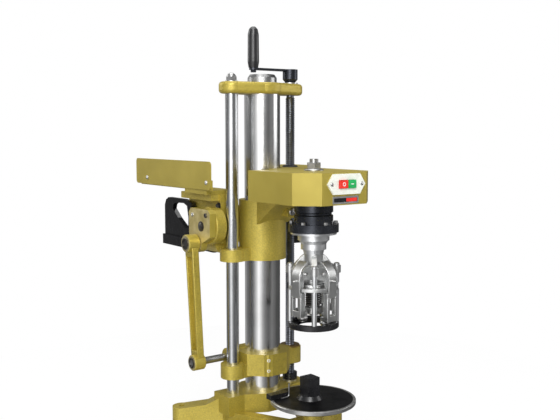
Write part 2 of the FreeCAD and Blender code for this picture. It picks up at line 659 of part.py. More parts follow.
def gearbox():
    """Worm gearbox behind the guide rod, its bearing cap, motor and black bracket."""
    inner = "(guide_x + guide_d / 2 + 3)"
    near = "(guide_d / 2 + 4)"
    right = "(gear_face - 54)"
    pieces = [cylinder("gear_boss / 2", f"gear_face - {inner}", "-gear_face", "shaft_y", SHAFT_Z, ALONG_X),
              box(f"{inner} - {right}", "gear_deep", "sleeve_long - 40", f"-{inner}", near,
                  "sleeve_low + 35"),
              box(f"{inner} - {right} - 6", "gear_top_long", "gear_top_high", f"-{inner}", f"{near} + 3",
                  "guard_low - 10 - gear_top_high"),
              box("22", "gear_top_long - 4", "14", f"-({inner} + 20)", f"{near} + 7", "guard_low - 24"),
              cylinder("22", "67", f"-({inner} - 14)", f"{near} + 11", "sleeve_low + 34", ALONG_Y)]
    bore = cylinder("shaft_d / 2 + fit", f"gear_face - {right} - 9", "-(gear_face + 1)", "shaft_y", SHAFT_Z,
                    ALONG_X)
    node("gearbox_housing", cut(joined(*pieces), bore))
    cap = turned([("shaft_d / 2 + 1", "0"), ("gear_boss / 2", "0"), ("gear_boss / 2", "cap_thick - 2"),
                  ("gear_boss / 2 - 2", "cap_thick"), ("shaft_d / 2 + 6", "cap_thick"),
                  ("shaft_d / 2 + 1", "cap_thick - 2")],
                 "-gear_face", "shaft_y", SHAFT_Z, Rotation(Vector(0, 1, 0), -90))
    node("bearing_cap", cap)
    rear = f"({near} + gear_deep)"
    can = cylinder("lift_motor_d / 2", "lift_motor_long", f"-({right} + 5)", rear, "sleeve_low + 36", ALONG_Y)
    box_pad = box("bracket_x - 80", "40", "32", "-bracket_x", f"{rear} + 15", "sleeve_low + 20")
    node("lift_motor", joined(can, box_pad))
    far, top = "(bracket_y + bracket_long)", "(bracket_low + bracket_high)"
    bracket = [("bracket_y", "bracket_low"), (far, "bracket_low"), (far, f"{top} - 18"),
               (f"{far} - 6", f"{top} - 6"),
               (f"{far} - 18", top), ("bracket_y + 34", top), ("bracket_y", f"{top} - 6")]
    window = [(f"{far} - 38", f"{top} - 24"), (f"{far} - 41", f"{top} - 15"), (f"{far} - 50", f"{top} - 10"),
              ("bracket_y + 34", f"{top} - 9"), ("bracket_y + 20", f"{top} - 14"),
              ("bracket_y + 14", f"{top} - 40"),
              ("bracket_y + 15", "bracket_low + 46"), ("bracket_y + 25", "bracket_low + 42"),
              (f"{far} - 62", "bracket_low + 63")]
    face = "-(bracket_x + bracket_thick)"
    plate = slab(bracket, "bracket_thick", face, 0, 0, UPRIGHT, "YZ_Plane")
    hole = slab(window, "3 * bracket_thick", "-(bracket_x + 2 * bracket_thick)", 0, 0, UPRIGHT, "YZ_Plane")
    foot = box("bracket_thick + 6", "bracket_long - 1", "22", "-(bracket_x + bracket_thick + 6)",
               "bracket_y + 1",
               "bracket_low")
    node("motor_bracket", cut(joined(plate, foot), hole))
    shelf = box("guard_x - 56", "90", "8", "-guard_x", "guard_y + 20", "guard_low - 10")
    rail = box("3", "guard_long - 20", "22", "-guard_x", "guard_y", "guard_low - 2")
    away = cylinder("guide_d / 2 + free", "20", "-guide_x", 0, "guard_low - 12")
    node("rear_plate", cut(joined(shelf, rail), away))
    corner = "8"
    flat = slab([("0", "0"), ("guard_long", "0"), ("guard_long", "guard_high"), ("0", "guard_high")],
                "guard_sheet",
                "-(guard_x + guard_sheet)", "guard_y", "guard_low", UPRIGHT, "YZ_Plane")
    rounded(flat, corner, lambda e: abs(e.Length - size("guard_sheet")) < 0.001)
    node("guard_plate", flat)


def crank_drive():
    """Output crank and the recessed connecting rod with its crank pin."""
    swing = math.radians(size("throw_deg"))
    pin_y = "(shaft_y + throw * sin(throw_deg * 1deg))"
    pin_z = f"({SHAFT_Z} - throw * cos(throw_deg * 1deg))"
    out = f"-{CRANK_OUT}"
    web = slab([("-34", "-20"), ("-34", "28"), ("-26", "36"), ("42", "36"), ("50", "28"), ("50", "-22"),
                ("40", "-36"), ("0", "-36")], "web_thick", out, "shaft_y", SHAFT_Z, UPRIGHT, "YZ_Plane")
    eye = cylinder("big_eye / 2 + 1.5", "web_thick", out, pin_y, pin_z, ALONG_X)
    shaft = cylinder("shaft_d / 2", f"{CRANK_OUT} - gear_face + 40", out, "shaft_y", SHAFT_Z, ALONG_X)
    node("output_crank", joined(web, eye, shaft))

    rest = Vector(0, size("shaft_y") + size("throw") * math.sin(swing) - size("lift_pin_y"),
                  size("sleeve_low") + size("shaft_over_sleeve") - size("throw") * math.cos(swing)
                  - size("collar_low") - size("lift_pin_up"))
    long = rest.Length
    tilt = Rotation(Vector(1, 0, 0), -math.degrees(math.atan2(rest.y, rest.z)))
    start = f"-({CRANK_OUT} + run + rod_thick)"
    middle = f"({CRANK_OUT} + run + rod_thick / 2)"
    near, far = "rod_wide / 2 - 1", "rod_wide / 2 + 1"
    shank = slab([(f"-({near})", "0"), (near, "0"), (far, long), (f"-({far})", long)], "rod_web",
                 f"-({middle} + rod_web / 2)", "lift_pin_y", PIN_Z, tilt, "YZ_Plane")
    lows, highs = "small_eye / 2 + 6", f"{long} - big_eye / 2 - 6"
    panels = []
    for place in (f"-({middle} + rod_web / 2 + 1)", f"-({middle} - rod_web / 2 + 4.5)"):
        panels.append(slab([("-(rod_wide / 2 - 7)", lows), ("rod_wide / 2 - 7", lows),
                            ("rod_wide / 2 - 5", highs), ("-(rod_wide / 2 - 5)", highs)], "5.5",
                           place, "lift_pin_y", PIN_Z, tilt, "YZ_Plane"))
    eyes = [cylinder("small_eye / 2", "rod_thick", start, "lift_pin_y", PIN_Z, ALONG_X),
            cylinder("big_eye / 2", "rod_thick", start, pin_y, pin_z, ALONG_X)]
    bores = [cylinder("lift_pin / 2 + fit", "rod_thick + 2", f"{start} - 1", "lift_pin_y", PIN_Z, ALONG_X),
             cylinder("crank_pin / 2 + fit", "rod_thick + 2", f"{start} - 1", pin_y, pin_z, ALONG_X)]
    node("connecting_rod", cut(joined(cut(shank, *panels), *eyes), *bores))
    node("crank_pin", cylinder("crank_pin / 2", "rod_thick", start, pin_y, pin_z, ALONG_X))


def table():
    node("table_post",
         cylinder("post_d / 2", "table_high - table_thick - rail_high", 0, "-reach", "rail_high"))
    half = "table_d / 2"
    disc = turned([("0", "0"), (f"{half} - 3", "0"), (half, "2"), (half, "table_thick - 1"),
                   (f"{half} - 1", "table_thick"), ("0", "table_thick")], 0, "-reach",
                  "table_high - table_thick")
    node("bottle_table", disc)
    wide = "rest_wide"
    block = box(wide, wide, "rest_high", f"-{wide} / 2 - rest_left", f"-reach - {wide} / 2 + rest_back",
                "table_high")
    foot = cone(f"{wide} / 2 + 12", f"{wide} / 2 + 7", "8", "0 - rest_left", "-reach + rest_back",
                "table_high")
    node("bottle_rest", joined(block, foot))
    bar = box(44, 16, 10, -78, "-reach + 34", "table_high")
    node("table_clamp", bar)
    node("table_wire", bent_wire())


def bent_wire():
    """Thin wire that lies on the table and turns up at its end."""
    thick, bend = 1.5, 6
    foot = Vector(-57, -size("reach") + 30, size("table_high") + thick)
    corner = foot + Vector(20, 0, 0)
    low, high = corner - Vector(bend, 0, 0), corner + Vector(0, 0, bend)
    middle = corner + Vector(-bend, 0, bend) + Vector(math.sin(math.pi / 4), 0, -math.sin(math.pi / 4)) * bend
    path = Part.Wire([Part.LineSegment(foot, low).toShape(), Part.Arc(low, middle, high).toShape(),
                      Part.LineSegment(high, corner + Vector(0, 0, 27)).toShape()])
    end = Part.Wire(Part.makeCircle(thick, foot, Vector(1, 0, 0)))
    wire = doc.addObject("Part::Feature", "Wire")
    wire.Shape = path.makePipeShell([end], True, False)
    return wire


def spindle():
    """Housing, bearings, shaft and neck down to the roller carrier."""
    wall = [("bearing_d / 2 + fit", "0"), ("flange_d / 2", "0"), ("flange_d / 2", "flange_thick"),
            ("housing_d / 2", "flange_thick"), ("housing_d / 2", "flange_thick + 16"),
            ("housing_d / 2 - 3", "flange_thick + 18"), ("housing_d / 2 - 3", "flange_thick + 21"),
            ("housing_d / 2", "flange_thick + 23"), ("housing_d / 2", "flange_thick + housing_long"),
            ("bearing_d / 2 + fit", "flange_thick + housing_long")]
    node("spindle_housing", turned(wall, 0, "-reach", FLANGE_LOW))
    rings = []
    for level in (f"{FLANGE_LOW} + 2", "cover_low - bearing_wide - 3"):
        outer = cylinder("bearing_d / 2", "bearing_wide", 0, "-reach", level)
        rings.append(cut(outer,
                         cylinder("spindle_d / 2 + fit", "bearing_wide + 2", 0, "-reach", f"{level} - 1")))
    node("spindle_bearings", group(*rings))
    bolts = []
    for step in range(6):
        angle = f"({step} * 60deg + 24deg)"
        x, y = f"43 * cos({angle})", f"-reach + 43 * sin({angle})"
        bolts.append(prism(6, "4.5", "5", x, y, f"{FLANGE_LOW} + flange_thick"))
    node("flange_bolts", group(*bolts))
    shaft = [("0", f"{NECK_TOP} - 17"), ("spindle_d / 2", f"{NECK_TOP} - 17"),
             ("spindle_d / 2", f"{COVER_TOP} + 4"), ("spindle_d / 2 - 4", f"{COVER_TOP} + 4"),
             ("spindle_d / 2 - 4", f"{COVER_TOP} + 23"), ("0", f"{COVER_TOP} + 23")]
    node("spindle_shaft", turned(shaft, 0, "-reach", 0))
    nut = prism(6, "14", "12", 0, "-reach", f"{COVER_TOP} + 4")
    bore = cylinder("spindle_d / 2 - 4 + fit", "30", 0, "-reach", f"{COVER_TOP} + 1")
    node("spindle_nut", cut(nut, bore))
    neck = [("0", "0"), ("19", "0"), ("21", "8"), ("25", "9"), ("25", "20"), ("28", "25"), ("31", "27"),
            ("31", "neck_long - 4"), ("45", "neck_long - 4"), ("45", "neck_long"),
            ("spindle_d / 2 + fit", "neck_long"), ("spindle_d / 2 + fit", "neck_long - 17"),
            ("0", "neck_long - 17")]
    node("spindle_neck", turned(neck, 0, "-reach", CARRIER_TOP))


def polar(radius, degrees):
    return f"{radius} * cos({degrees}deg)", f"-reach + {radius} * sin({degrees}deg)"


def cage_rod_profile():
    """Stud with a spacer sleeve below and above the spider and a round nut on the shoulder."""
    thin, sleeve, nut = "cage_rod / 2", "cage_sleeve / 2", "(cage_rod / 2 + 2.2)"
    spider, carrier = "cage_long", "(cage_long + spider_thick)"
    wing, top = f"({carrier} + wing_low)", f"({carrier} + wing_low + wing_high)"
    return [("0", "-4"), (thin, "-4"), (thin, "run"), (sleeve, "run"), (sleeve, f"{spider} - run"),
            (thin, f"{spider} - run"), (thin, f"{carrier} + run"), (sleeve, f"{carrier} + run"),
            (sleeve, f"{wing} - run"), (thin, f"{wing} - run"), (thin, f"{top} + run"), (nut, f"{top} + run"),
            (nut, f"{top} + 4"), (thin, f"{top} + 5.5"), ("0", f"{top} + 5.5")]


def capping_head():
    """Roller carrier, cage, four levers with their rollers and the pressure block."""
    hub = cylinder("19", "carrier_long", 0, "-reach", CARRIER_LOW)
    pieces, slots, pins = [hub], [], []
    wing_top = "(wing_low + wing_high)"
    for step in range(4):
        corner = 45 + 90 * step + size("head_deg")
        rib = slab([("10", "0"), ("24", "0"), ("30", "wing_low"), ("cage_r", "wing_low"),
                    ("cage_r", wing_top), ("cage_r - 8", wing_top), ("26", "carrier_long - 7"),
                    ("20", "carrier_long - 2"), ("10", "carrier_long - 2")],
                   "10", 0, "-reach", CARRIER_LOW, spin_z(corner), "XZ_Plane", True)
        tip_x, tip_y = polar("cage_r", corner)
        pieces += [rib,
                   cylinder("cage_rod / 2 + 4.5", "wing_high", tip_x, tip_y, f"{CARRIER_LOW} + wing_low")]
        slots.append(cylinder("cage_rod / 2 + fit", "carrier_long", tip_x, tip_y,
                              f"{CARRIER_LOW} + wing_low - 9"))
        facing = spin_z(90 * step + size("head_deg"))
        for side in (-1, 1):
            ear = slab([("10", "-12"), ("pivot_r + 3", "-12"), ("pivot_r + 8", "-4"), ("pivot_r + 8", "6"),
                        ("pivot_r", "13"), ("10", "20")], "5", 0, 0, 0, facing, "XZ_Plane", True)
            offset = f"({side} * (lever_thick / 2 + run + 2.5))"
            angle = f"({90 * step}deg + head_deg * 1deg)"
            bind(ear, ".Placement.Base.x", f"0 - {offset} * sin({angle})")
            bind(ear, ".Placement.Base.y", f"-reach + {offset} * cos({angle})")
            bind(ear, ".Placement.Base.z", PIVOT_Z)
            pieces.append(ear)
        long = "(lever_thick + 2 * run + 16)"
        along = Rotation(Vector(0, 0, 1), 90 * step + size("head_deg")).multiply(ALONG_Y)
        angle = f"({90 * step}deg + head_deg * 1deg)"
        x = f"pivot_r * cos({angle}) + {long} / 2 * sin({angle})"
        y = f"-reach + pivot_r * sin({angle}) - {long} / 2 * cos({angle})"
        pins.append(cylinder("3", long, x, y, PIVOT_Z, along))
        slots.append(cylinder("3 + fit", long, x, y, PIVOT_Z, along))
    stem_way = cylinder("8 + fit", "carrier_long - 10", 0, "-reach", f"{CARRIER_LOW} - 1")
    node("roller_carrier", cut(joined(*pieces), stem_way, *slots))
    node("lever_pins", group(*pins))

    spider = [cylinder("31", "spider_thick", 0, "-reach", SPIDER_LOW)]
    rods, rod_ways, seats = [], [], []
    for step in range(4):
        turn = 45 + 90 * step + size("head_deg")
        x, y = polar("cage_r", turn)
        spider.append(cylinder("cage_rod / 2 + 4", "spider_thick", x, y, SPIDER_LOW))
        arm = slab([("0", "-6"), ("cage_r", "-6"), ("cage_r", "6"), ("0", "6")], "spider_thick",
                   0, "-reach", SPIDER_LOW, spin_z(turn))
        spider.append(arm)
        rods.append(turned(cage_rod_profile(), x, y, RING_TOP))
        rod_ways.append(cylinder("cage_rod / 2 + fit", "cage_long + 40", x, y, RING_TOP))
        seats.append(cylinder("cage_rod / 2 + fit", "10", x, y, f"{RING_TOP} - 4"))
    middle = cylinder("8 + fit", "30", 0, "-reach", f"{SPIDER_LOW} - 10")
    node("spider_plate", cut(joined(*spider), middle, *rod_ways))
    node("cage_rods", group(*rods))
    ring = [("ring_hole / 2", "0"), ("ring_d / 2 - 1.5", "0"), ("ring_d / 2", "1.5"),
            ("ring_d / 2", "ring_thick - 1"),
            ("ring_d / 2 - 1", "ring_thick"), ("ring_hole / 2", "ring_thick")]
    node("guide_ring", cut(turned(ring, 0, "-reach", f"{RING_TOP} - ring_thick"), *seats))

    block = [("0", "0"), ("15", "0"), ("17", "2"), ("17", "14"), ("8", "14"), ("8", "80"), ("0", "80")]
    node("pressure_block", turned(block, 0, "-reach", f"{RING_TOP} + 15"))
    for step in range(4):
        lever(step)


def lever(step):
    """One lever with its roller: alternate levers hold theirs at two heights."""
    angle = 90 * step + size("head_deg")
    facing = spin_z(angle)
    drop = "6" if step % 2 else "16"
    foot = f"({RING_TOP} + {drop})"
    low = f"({foot} - {PIVOT_Z})"
    leg = slab([("2", low), ("11", low), ("13", "6"), ("-1", "6")], "lever_thick", 0, 0, 0, facing,
               "XZ_Plane", True)
    toe = slab([("-(pivot_r - roller_r + 3)", low), ("8", low), ("8", f"{low} + 8"),
                ("-(pivot_r - roller_r + 3)", f"{low} + 8")], "lever_thick", 0, 0, 0, facing, "XZ_Plane",
               True)
    parts = [leg, toe]
    across = Rotation(Vector(0, 0, 1), angle).multiply(ALONG_Y)
    half = "lever_thick / 2"
    for radius, out, up in (("13", "2", "6"), ("6", "-8", "21")):
        x = f"(pivot_r + {out}) * cos({angle}deg) + {half} * sin({angle}deg)"
        y = f"-reach + (pivot_r + {out}) * sin({angle}deg) - {half} * cos({angle}deg)"
        parts.append(cylinder(radius, "lever_thick", x, y, f"{PIVOT_Z} + {up}", across))
    for piece in (leg, toe):
        bind(piece, ".Placement.Base.x", f"pivot_r * cos({angle}deg)")
        bind(piece, ".Placement.Base.y", f"-reach + pivot_r * sin({angle}deg)")
        bind(piece, ".Placement.Base.z", PIVOT_Z)
    x, y = polar("roller_r", angle)
    parts.append(cylinder("3", "roller_high + 3", x, y, f"{foot} - roller_high - 2"))
    parts.append(cylinder("5", "1.5", x, y, f"{foot} - roller_high - 2.3"))
    long = "(lever_thick + 20)"
    pin_x = f"pivot_r * cos({angle}deg) + {long} / 2 * sin({angle}deg)"
    pin_y = f"-reach + pivot_r * sin({angle}deg) - {long} / 2 * cos({angle}deg)"
    bore = cylinder("3 + fit", long, pin_x, pin_y, PIVOT_Z, across)
    window = slab([("-10", f"{low} + 14"), ("30", f"{low} + 14"), ("30", "-22"), ("-10", "-22")],
                  "lever_slot",
                  0, 0, 0, facing, "XZ_Plane", True)
    bind(window, ".Placement.Base.x", f"pivot_r * cos({angle}deg)")
    bind(window, ".Placement.Base.y", f"-reach + pivot_r * sin({angle}deg)")
    bind(window, ".Placement.Base.z", PIVOT_Z)
    node(f"lever_{step + 1}", cut(joined(*parts), bore, window))
    rim = [("3 + fit", "0"), ("roller_d / 2 - 2", "0"), ("roller_d / 2", "roller_high / 2 - 1"),
           ("roller_d / 2", "roller_high / 2 + 1"), ("roller_d / 2 - 2", "roller_high"),
           ("3 + fit", "roller_high")]
    node(f"roller_{step + 1}", turned(rim, x, y, f"{foot} - roller_high - run"))


base_casting()
column_parts()
top_plate()
height_screw()
lift_collar()
head_casting()
belt_cover()
switch()
drives()
gearbox()
crank_drive()
table()
spindle()
capping_head()
doc.recompute()

# Stop before writing anything if a feature failed or a piece isn't a sound solid
for thing in doc.Objects:
    if "Invalid" in thing.State or "Error" in thing.State:
        raise RuntimeError(f"{thing.Name} ({thing.Label}) failed: {thing.State}")
for name, thing in NODES.items():
    if thing.Shape.isNull() or not thing.Shape.isValid() or not thing.Shape.Solids:
        raise RuntimeError(f"{name} isn't a sound solid")

os.makedirs("parts", exist_ok=True)
for name, thing in NODES.items():
    thing.Shape.exportStep(f"parts/{name}.step")
print(f"{len(NODES)} pieces written")
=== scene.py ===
"""Looks of the screw capping machine: finishes, small fittings, studio floor, lamps and camera."""
import math

import bmesh
import bpy
from mathutils import Matrix, Vector


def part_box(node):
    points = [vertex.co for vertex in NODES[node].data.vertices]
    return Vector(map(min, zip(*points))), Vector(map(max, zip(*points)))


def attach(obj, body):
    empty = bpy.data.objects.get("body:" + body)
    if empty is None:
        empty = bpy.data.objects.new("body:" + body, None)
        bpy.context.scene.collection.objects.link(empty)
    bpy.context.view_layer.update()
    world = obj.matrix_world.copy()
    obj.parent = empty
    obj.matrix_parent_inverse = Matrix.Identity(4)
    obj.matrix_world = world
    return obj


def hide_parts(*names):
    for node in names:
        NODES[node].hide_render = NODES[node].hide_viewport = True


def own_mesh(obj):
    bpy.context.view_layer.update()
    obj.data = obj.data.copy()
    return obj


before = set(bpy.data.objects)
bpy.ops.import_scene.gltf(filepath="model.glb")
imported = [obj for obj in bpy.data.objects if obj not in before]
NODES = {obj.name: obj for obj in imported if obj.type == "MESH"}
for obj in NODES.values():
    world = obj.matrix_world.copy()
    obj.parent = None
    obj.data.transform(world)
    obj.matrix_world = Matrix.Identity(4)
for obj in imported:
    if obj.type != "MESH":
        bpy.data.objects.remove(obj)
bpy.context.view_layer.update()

# The capping head, in millimetres: distance of its axis in front of the column, turn of its first lever,
# lower ends of the odd and the even levers, radius of the rollers' stems, radius of the guide ring's bore
HEAD_Y, HEAD_DEG = 175, 9
LEVER_LOW = {1: 261.6, 0: 251.6}
STEM_R, RING_R = 30, 41.6

# Planes of the pieces that carry fittings, in millimetres
GUARD_X, CRANK_X, SWITCH_Y, BUTTON_Y, COVER_Y = -127, -130.4, -271, -275, -267
SWITCH_Z, STRIP_Z, NUT_Z, RING_LOW = 520, 490.5, 541.2, 234.8
COLLAR_FLAT_DEG, COLLAR_FLAT_R = -112.5, 59
LEFT, FRONT, UP = (-1, 0, 0), (0, -1, 0), (0, 0, 1)

# Height screw, in millimetres: axis, thread and plain journals
SCREW_X, CREST_R, ROOT_R, PITCH = 73, 10.0, 8.7, 4.0
JOURNALS, JOURNAL_R = (85, 689), 8.0

# Darkest and lightest tone of the enamel on castings and on sheet
GOLD_LOW, GOLD_HIGH = (0.43, 0.338, 0.046), (0.54, 0.432, 0.072)
SHEET_LOW, SHEET_HIGH = (0.385, 0.302, 0.040), (0.485, 0.387, 0.064)
ENAMEL = {"metallic": 0.5, "coat": 0.5, "coat_rough": 0.4, "specular": 0.4}

# Share of a camera ray that sees the floor as plain white
FLOOR_GLOW = 0.93

# Camera: place in metres, tilt and turn
CAMERA_AT, CAMERA_DOWN_DEG, CAMERA_TURN_DEG = (-0.963, -1.389, 0.610), 5.36, 36.0

# Lamps: place, target, width in metres, watts
LAMPS = {
    "key": ((-1.1, -1.8, 1.7), (0, 0, 0.45), 1.1, 36),
    "fill": ((1.9, -1.1, 1.1), (0, 0, 0.4), 1.2, 9),
    "front": ((-1.5, -1.65, 0.75), (0, 0, 0.4), 0.9, 10),
    "top": ((0.1, 0.2, 2.3), (0, 0, 0.4), 1.4, 17),
    "back": ((-1.3, 1.7, 1.4), (0, 0, 0.4), 1.0, 12),
}

# Brightness that metal mirrors, by the share of a turn round the machine
SKYLINE = [(0.0, 0.40), (0.04, 0.80), (0.085, 1.50), (0.12, 1.00), (0.16, 0.42), (0.21, 0.22), (0.26, 0.15),
           (0.33, 0.26), (0.38, 0.18), (0.45, 0.09), (0.62, 0.07), (0.70, 0.22), (0.76, 0.45), (0.83, 0.20),
           (0.90, 0.14), (0.96, 0.26)]


def mm(*values):
    """Millimetres to metres."""
    return tuple(v / 1000 for v in values)


class Finish:
    """A material whose colour, roughness and relief all come from procedural nodes."""

    def __init__(self, name, metallic=0.0, coat=0.0, coat_rough=0.1, specular=0.5):
        self.material = bpy.data.materials.new(name)
        self.material.use_nodes = True
        self.tree = self.material.node_tree
        self.shader = self.tree.nodes["Principled BSDF"]
        self.set(self.shader, "Metallic", metallic)
        self.set(self.shader, "Coat Weight", coat)
        self.set(self.shader, "Coat Roughness", coat_rough)
        self.set(self.shader, "Specular IOR Level", specular)
        self.place = self.add("ShaderNodeTexCoord").outputs["Object"]
        self.relief = None

    def add(self, kind):
        return self.tree.nodes.new(kind)

    def set(self, node, key, value):
        node.inputs[key].default_value = value

    def join(self, out, into):
        self.tree.links.new(out, into)

    def noise(self, scale, detail=3.0, stretch=(1, 1, 1), rough=0.55):
        where = self.add("ShaderNodeMapping")
        self.set(where, "Scale", stretch)
        self.join(self.place, where.inputs["Vector"])
        node = self.add("ShaderNodeTexNoise")
        self.join(where.outputs["Vector"], node.inputs["Vector"])
        self.set(node, "Scale", scale)
        self.set(node, "Detail", detail)
        self.set(node, "Roughness", rough)
        return node.outputs["Fac"]

    def cells(self, scale):
        node = self.add("ShaderNodeTexVoronoi")
        node.feature = "SMOOTH_F1"
        self.join(self.place, node.inputs["Vector"])
        self.set(node, "Scale", scale)
        return node.outputs["Distance"]

    def ramp(self, fac, low, high, start=0.35, end=0.65):
        node = self.add("ShaderNodeValToRGB")
        self.join(fac, node.inputs["Fac"])
        for element, place, tone in zip(node.color_ramp.elements, (start, end), (low, high)):
            element.position = place
            element.color = (*tone, 1)
        return node.outputs["Color"]

    def mix(self, fac, first, second):
        node = self.add("ShaderNodeMix")
        node.data_type = "RGBA"
        self.join(fac, node.inputs["Factor"])
        self.join(first, node.inputs["A"])
        self.join(second, node.inputs["B"])
        return node.outputs[2]

    def parts(self):
        """The place on the piece, split into X, Y and Z."""
        split = self.add("ShaderNodeSeparateXYZ")
        self.join(self.place, split.inputs["Vector"])
        return split.outputs

    def math(self, operation, first, second=0.0):
        node = self.add("ShaderNodeMath")
        node.operation = operation
        for slot, value in enumerate((first, second)):
            if hasattr(value, "node"):
                self.join(value, node.inputs[slot])
            else:
                self.set(node, slot, value)
        return node.outputs[0]

    def colour(self, out):
        self.join(out, self.shader.inputs["Base Color"])

    def rough(self, fac, low, high):
        node = self.add("ShaderNodeMapRange")
        self.join(fac, node.inputs["Value"])
        self.set(node, "From Min", 0.3)
        self.set(node, "From Max", 0.7)
        self.set(node, "To Min", low)
        self.set(node, "To Max", high)
        self.join(node.outputs["Result"], self.shader.inputs["Roughness"])

    def bump(self, height, depth, strength=1.0):
        node = self.add("ShaderNodeBump")
        self.set(node, "Distance", depth)
        self.set(node, "Strength", strength)
        self.join(height, node.inputs["Height"])
        if self.relief:
            self.join(self.relief, node.inputs["Normal"])
        self.relief = node.outputs["Normal"]
        self.join(self.relief, self.shader.inputs["Normal"])


def gold_paint():
    """Metallic olive-gold enamel over a cast surface."""
    f = Finish("gold_enamel", **ENAMEL)
    tone = f.ramp(f.noise(9, 3), GOLD_LOW, GOLD_HIGH)
    speck = f.ramp(f.noise(420, 4), (0.80, 0.80, 0.80), (1.15, 1.13, 1.06))
    blend = f.add("ShaderNodeMix")
    blend.data_type, blend.blend_type = "RGBA", "MULTIPLY"
    f.set(blend, "Factor", 1.0)
    f.join(tone, blend.inputs["A"])
    f.join(speck, blend.inputs["B"])
    f.colour(blend.outputs[2])
    f.rough(f.noise(35, 3), 0.42, 0.55)
    f.bump(f.noise(28, 2), 0.0016, 0.35)
    f.bump(f.cells(230), 0.0005, 0.45)
    return f.material


def gold_sheet():
    """The same enamel on flat sheet, smoother."""
    f = Finish("gold_sheet", **ENAMEL)
    f.colour(f.ramp(f.noise(6, 3), SHEET_LOW, SHEET_HIGH))
    f.rough(f.noise(40, 3), 0.54, 0.63)
    f.bump(f.noise(330, 3), 0.0003, 0.35)
    return f.material


def chrome(name, low, high, rough):
    """Polished plating with faint drawn marks."""
    f = Finish(name, metallic=1.0)
    f.colour(f.ramp(f.noise(12, 3), low, high))
    f.rough(f.noise(30, 4, (1, 1, 60)), rough, rough + 0.07)
    f.bump(f.noise(8, 2, (1, 1, 260)), 0.00002, 0.5)
    return f.material


def steel(name, low, high, rough_low, rough_high, stretch=(1, 1, 40), depth=0.00006):
    """Bare or oxidised metal, brushed along its stretch."""
    f = Finish(name, metallic=1.0)
    f.colour(f.ramp(f.noise(18, 4), low, high))
    f.rough(f.noise(55, 4, stretch), rough_low, rough_high)
    f.bump(f.noise(60, 3, stretch), depth, 0.6)
    return f.material


def black_coat(name, low, high, rough_low, rough_high, grain=500, depth=0.00012, metallic=0.0):
    """Black paint, oxide or rubber with a fine grain."""
    f = Finish(name, metallic=metallic, specular=0.5)
    f.colour(f.ramp(f.noise(30, 4), low, high))
    f.rough(f.noise(80, 4), rough_low, rough_high)
    f.bump(f.noise(grain, 3), depth, 0.6)
    return f.material


def part_machined(name, face, bare_low, bare_high):
    """Gold enamel, worn to another tone on the side that lies left of a plane x = face."""
    f = Finish(name, **ENAMEL)
    gold = f.ramp(f.noise(9, 3), GOLD_LOW, GOLD_HIGH)
    bare = f.ramp(f.noise(45, 5), bare_low, bare_high, 0.3, 0.7)
    f.colour(f.mix(f.math("LESS_THAN", f.parts()["X"], face), gold, bare))
    f.rough(f.noise(35, 3), 0.34, 0.50)
    f.bump(f.noise(28, 2), 0.0012, 0.3)
    f.bump(f.cells(230), 0.0004, 0.4)
    return f.material


def plastic(name, low, high, rough=0.3):
    """Moulded plastic with a soft gloss."""
    f = Finish(name, coat=0.3, coat_rough=0.15)
    f.colour(f.ramp(f.noise(90, 3), low, high))
    f.rough(f.noise(150, 3), rough, rough + 0.1)
    f.bump(f.noise(900, 2), 0.00004, 0.4)
    return f.material


def table_top():
    """Blackened face with a bright turned rim and faint turning marks."""
    f = Finish("table_face", metallic=1.0)
    x, y, z = f.parts()
    y = f.math("ADD", y, HEAD_Y / 1000)
    square = f.math("ADD", f.math("MULTIPLY", x, x), f.math("MULTIPLY", y, y))
    radius = f.math("SQRT", square)
    inside = f.math("LESS_THAN", radius, 0.0795)
    above = f.math("GREATER_THAN", z, 0.0885)
    face = f.math("MULTIPLY", inside, above)
    dark = f.ramp(f.noise(40, 4), (0.022, 0.023, 0.025), (0.05, 0.05, 0.052))
    bright = f.ramp(f.noise(30, 3), (0.46, 0.46, 0.45), (0.60, 0.60, 0.59))
    f.colour(f.mix(face, bright, dark))
    rings = f.math("SINE", f.math("MULTIPLY", radius, 5200.0))
    f.rough(f.noise(60, 4), 0.30, 0.50)
    f.bump(rings, 0.00004, 0.4)
    return f.material


GOLD, SHEET = gold_paint(), gold_sheet()
CHROME = chrome("column_chrome", (0.62, 0.62, 0.62), (0.72, 0.72, 0.72), 0.17)
ROD_CHROME = chrome("rod_chrome", (0.50, 0.51, 0.52), (0.62, 0.63, 0.64), 0.20)
BRIGHT = steel("bright_steel", (0.42, 0.42, 0.42), (0.60, 0.60, 0.59), 0.24, 0.40)
ALLOY = steel("head_alloy", (0.54, 0.545, 0.54), (0.70, 0.705, 0.70), 0.34, 0.46, (1, 1, 8), 0.00003)
SATIN = steel("satin_steel", (0.72, 0.73, 0.74), (0.84, 0.85, 0.86), 0.34, 0.44, (1, 1, 60), 0.00001)
THREAD = steel("thread_steel", (0.10, 0.11, 0.13), (0.19, 0.20, 0.23), 0.26, 0.38)
BLACK = black_coat("black_coat", (0.006, 0.006, 0.007), (0.015, 0.015, 0.017), 0.22, 0.36, depth=0.00005)
GLOSS = black_coat("bracket_black", (0.002, 0.002, 0.003), (0.004, 0.004, 0.005), 0.07, 0.14, 70, 0.0009)
OXIDE = black_coat("black_oxide", (0.030, 0.033, 0.040), (0.060, 0.064, 0.076), 0.22, 0.34, 300, 0.00004, 0.8)
RUBBER = black_coat("black_rubber", (0.012, 0.012, 0.012), (0.022, 0.022, 0.022), 0.65, 0.82)
GRIP = plastic("grip_plastic", (0.010, 0.010, 0.011), (0.018, 0.018, 0.020), 0.28)
WHITE = plastic("switch_white", (0.72, 0.74, 0.66), (0.82, 0.84, 0.76), 0.4)
RED = plastic("button_red", (0.66, 0.018, 0.010), (0.80, 0.030, 0.016))
GREEN = plastic("button_green", (0.008, 0.33, 0.075), (0.014, 0.44, 0.11))
MARK = plastic("button_mark", (0.75, 0.75, 0.72), (0.85, 0.85, 0.82), 0.4)
